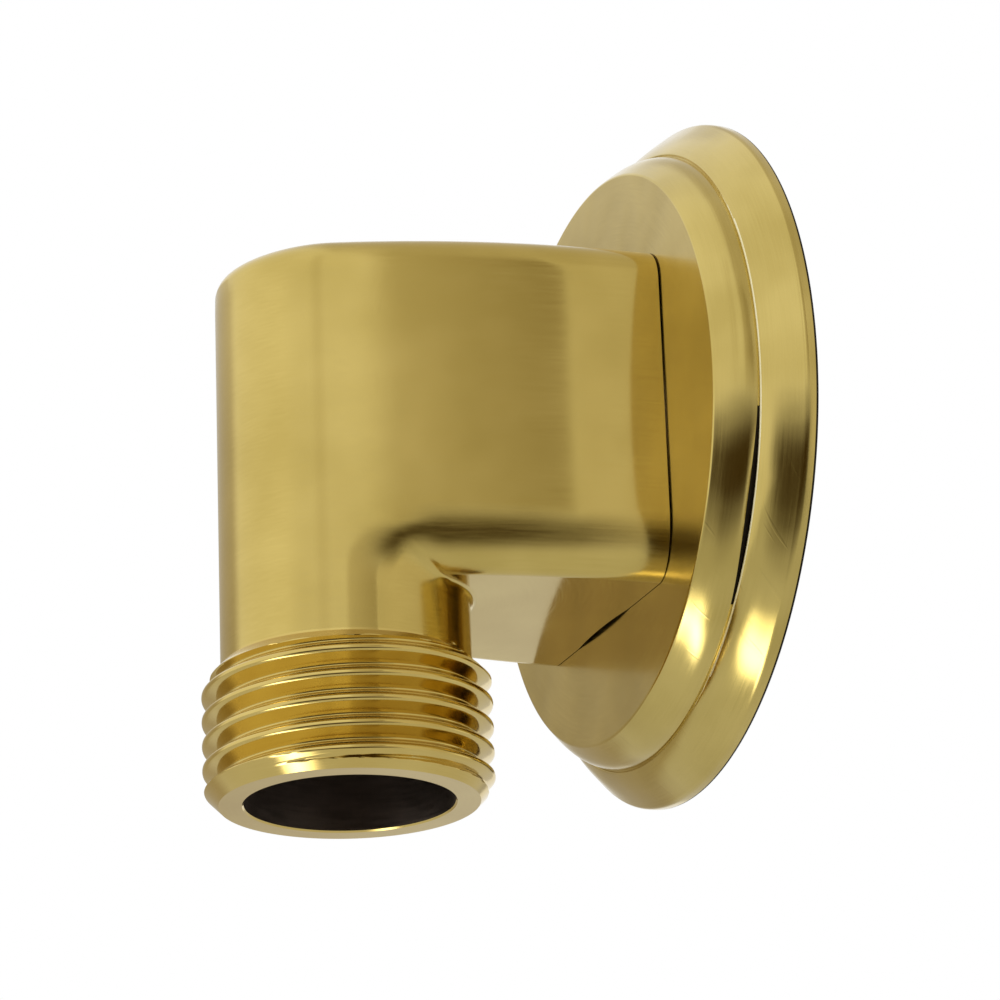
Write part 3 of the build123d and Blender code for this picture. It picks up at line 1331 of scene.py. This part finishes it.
# In the order of the material slots in ElbowFinish and FlangeFinish.
ELBOW_FINISHES = (BLOCK_FINISH, OUTLET_FINISH, PAINTED_HOLLOW_SHADE, TOP_FINISH)
FLANGE_FINISHES = (FLANGE_FINISH, PAINTED_SLIT_SHADE, PAINTED_LIP_HIGHLIGHT, FACE_FINISH)


@dataclass
class PhotoCamera:
    """The camera: direction, roll, distance and framing, in degrees, millimetres and image pixels."""

    azimuth: float = 69.009
    elevation: float = -19.29
    roll: float = -2.09
    focal: float = 4622.0
    distance: float = 347.953
    centre: Point = (678.679, 467.419)
    image: float = 1000.0
    sensor: float = 36.0
    nearest: float = 10.0

    def build(self) -> Object:
        """Make the camera and use it for the scene.

        Returns:
            The camera.
        """
        turn, tilt, roll = (math.radians(v) for v in (self.azimuth, self.elevation, self.roll))
        back = Vector((math.sin(turn) * math.cos(tilt), -math.cos(turn) * math.cos(tilt), math.sin(tilt)))
        level = Vector((math.cos(turn), math.sin(turn), 0.0))
        upright = back.cross(level)
        right = level * math.cos(roll) + upright * math.sin(roll)
        up = upright * math.cos(roll) - level * math.sin(roll)
        scale = self.distance / self.focal
        shift_x = (self.centre[0] - self.image / 2.0) * scale
        shift_y = -(self.centre[1] - self.image / 2.0) * scale
        place = (back * self.distance - right * shift_x - up * shift_y) * MM
        data = bpy.data.cameras.new("photo_camera")
        data.sensor_fit = "HORIZONTAL"
        data.sensor_width = self.sensor
        data.lens = self.focal * self.sensor / self.image
        data.clip_start = self.nearest * MM
        camera = link("photo_camera", data)
        turned = Matrix((right, up, back)).transposed().to_4x4()
        camera.matrix_world = Matrix.Translation(place) @ turned
        bpy.context.scene.camera = camera
        return camera


def aim(azimuth: float, elevation: float) -> Vector:
    """Direction from the object, with azimuth turning from +X towards -Y, in degrees."""
    turn, tilt = math.radians(azimuth), math.radians(elevation)
    return Vector((math.cos(turn) * math.cos(tilt), -math.sin(turn) * math.cos(tilt), math.sin(tilt)))


def sheet(name: str, corners: Sequence[Sequence[float]], material: Material) -> Mesh:
    """Make a flat sheet.

    Args:
        name: The new mesh's name.
        corners: Its four corners, in metres.
        material: The material that it gets.

    Returns:
        The sheet.
    """
    mesh = bpy.data.meshes.new(name)
    mesh.from_pydata([tuple(c) for c in corners], [], [(0, 1, 2, 3)])
    mesh.materials.append(material)
    return mesh


@dataclass(frozen=True)
class Board:
    """A studio board that the brass mirrors, upright or leaning, placed as seen from the object.

    The front edge is the one nearer to -Y when the board stands at +X. A darker tone is also a warmer one.
    """

    name: str
    azimuth: float
    half_angle: float
    foot: float
    head: float
    front_tone: float
    rear_tone: float
    fades: tuple[float, float, float, float]
    distance: float = 0.6
    warmth: Triple = (1.0, 1.15, 1.5)
    lean: float = 0.0
    least_fade: float = 1e-3

    def build(self, centre: Vector) -> Object:
        """Make the board, facing a point.

        Args:
            centre: The point that it faces.

        Returns:
            The board.
        """
        back = aim(self.azimuth, self.lean)
        level = Vector((0.0, 0.0, 1.0)).cross(back).normalized()
        upright = back.cross(level) * self.distance
        along = level * self.distance * math.tan(math.radians(self.half_angle))
        middle = centre + back * self.distance
        low, high = (upright * math.tan(math.radians(tilt)) for tilt in (self.foot, self.head))
        corners = [middle - along + low, middle + along + low, middle + along + high, middle - along + high]
        mesh = sheet(self.name, corners, self._paint())
        layer = mesh.uv_layers.new(name="board")
        for loop, uv in zip(layer.data, ((0, 0), (1, 0), (1, 1), (0, 1))):
            loop.uv = uv
        board = link(self.name, mesh)
        board.visible_camera = False
        board.visible_shadow = False
        board.visible_diffuse = False
        return board

    def _paint(self) -> Material:
        """Make a plain glow between the two tones that fades out at the edges.

        Returns:
            The board's material.
        """
        material = bpy.data.materials.new(self.name)
        w = fresh_wiring(material)
        along, up, _ = w.parts(w.node("ShaderNodeTexCoord").outputs["UV"])
        edges = (along, w.math("SUBTRACT", 1.0, along), up, w.math("SUBTRACT", 1.0, up))
        mask: Value = 1.0
        for edge, fade in zip(edges, self.fades):
            soft = w.ranged(edge, (0.0, max(fade, self.least_fade)), interpolation_type="SMOOTHSTEP")
            mask = w.math("MULTIPLY", soft, mask)
        tone = w.math("MULTIPLY_ADD", along, self.rear_tone - self.front_tone, self.front_tone)
        warm = [w.math("POWER", tone, power) for power in self.warmth]
        colour = w.node("ShaderNodeCombineColor", dict(enumerate(warm)))
        glow = w.node("ShaderNodeEmission", {"Color": colour.outputs[0]})
        clear = w.node("ShaderNodeBsdfTransparent")
        mix = w.node("ShaderNodeMixShader", {0: mask, 1: clear.outputs[0], 2: glow.outputs[0]})
        w.node("ShaderNodeOutputMaterial", {"Surface": mix.outputs[0]})
        return material


BOARDS = (
    Board("side_board", 5.0, 15.0, 2.0, 68.0, 0.78, 0.40, (0.2, 0.02, 0.15, 0.2)),
    Board("rear_board", -44.0, 34.0, -30.0, 62.0, 0.79, 0.62, (0.01, 0.3, 0.2, 0.2)),
    Board("camera_board", 22.0, 52.0, -50.0, 18.0, 0.065, 0.065, (0.25, 0.36, 0.55, 0.33), distance=0.45),
    Board("streak_board", 39.0, 9.0, 5.0, 60.0, 0.9, 0.9, (0.48, 0.48, 0.2, 0.2)),
    Board("left_board", 165.5, 38.5, -30.0, 34.0, 0.47, 0.47, (0.23, 0.23, 0.2, 0.34)),
    Board(
        "low_front_board", 89.0, 10.5, -32.0, 13.5, 7.5, 7.5, (0.5, 0.5, 0.72, 0.28),
        distance=0.4, warmth=(1.0, 1.0, 1.0), lean=-50.0,
    ),
    Board("ceiling_board", -80.0, 55.0, -25.0, 35.0, 0.68, 0.68, (0.25, 0.25, 0.25, 0.25), lean=65.0),
    Board("wall_board", -112.0, 26.0, -20.0, 50.0, 0.1, 0.1, (0.2, 0.2, 0.2, 0.2)),
)


@dataclass
class Studio:
    """The floor, the white surround and the boards round the object's centre, in metres."""

    centre: Triple = (0.0, -0.018, -0.005)
    floor_height: float = -0.85
    floor_reach: float = 4.0
    floor_tone: float = 0.86
    floor_roughness: float = 0.8
    diffuse_share: float = 0.77

    def build(self) -> None:
        """Make everything round the object."""
        self._world()
        self._floor()
        for board in BOARDS:
            board.build(Vector(self.centre))

    def _world(self) -> None:
        """A white surround for the eye and for reflections, and a little less light from it otherwise."""
        world = bpy.data.worlds.new("white_surround")
        w = fresh_wiring(world)
        path = w.node("ShaderNodeLightPath").outputs
        seen = w.math("MAXIMUM", path["Is Camera Ray"], path["Is Glossy Ray"])
        seen = w.math("MAXIMUM", seen, path["Is Transmission Ray"])
        strength = w.math("MULTIPLY_ADD", seen, 1.0 - self.diffuse_share, self.diffuse_share)
        glow = w.node("ShaderNodeBackground", {"Color": (1.0, 1.0, 1.0, 1.0), "Strength": strength})
        w.node("ShaderNodeOutputWorld", {"Surface": glow.outputs[0]})
        bpy.context.scene.world = world

    def _floor(self) -> None:
        """A plain pale floor well below the object."""
        material = bpy.data.materials.new("pale_floor")
        material.use_nodes = True
        shader = material.node_tree.nodes["Principled BSDF"]
        shader.inputs["Base Color"].default_value = (self.floor_tone,) * 3 + (1.0,)
        shader.inputs["Roughness"].default_value = self.floor_roughness
        signs = ((-1.0, -1.0), (1.0, -1.0), (1.0, 1.0), (-1.0, 1.0))
        corners = [(x * self.floor_reach, y * self.floor_reach, self.floor_height) for x, y in signs]
        link("floor", sheet("floor", corners, material))


def main() -> None:
    """Build the object, then the studio round it."""
    logging.basicConfig(level=logging.INFO, format="%(name)s: %(message)s")
    lines = BrushLines()
    turner = TurnedPiece()
    threads = ScrewThread()
    elbow = ElbowBody(turner, threads, [finish.build(lines) for finish in ELBOW_FINISHES]).build()
    LOG.info("elbow: %d faces", len(elbow.data.polygons))
    flange = WallFlange(turner, [finish.build(lines) for finish in FLANGE_FINISHES]).build()
    LOG.info("flange: %d faces", len(flange.data.polygons))
    PhotoCamera().build()
    Studio().build()
    bpy.context.scene.view_settings.view_transform = "Standard"


if __name__ == "__main__":
    main()
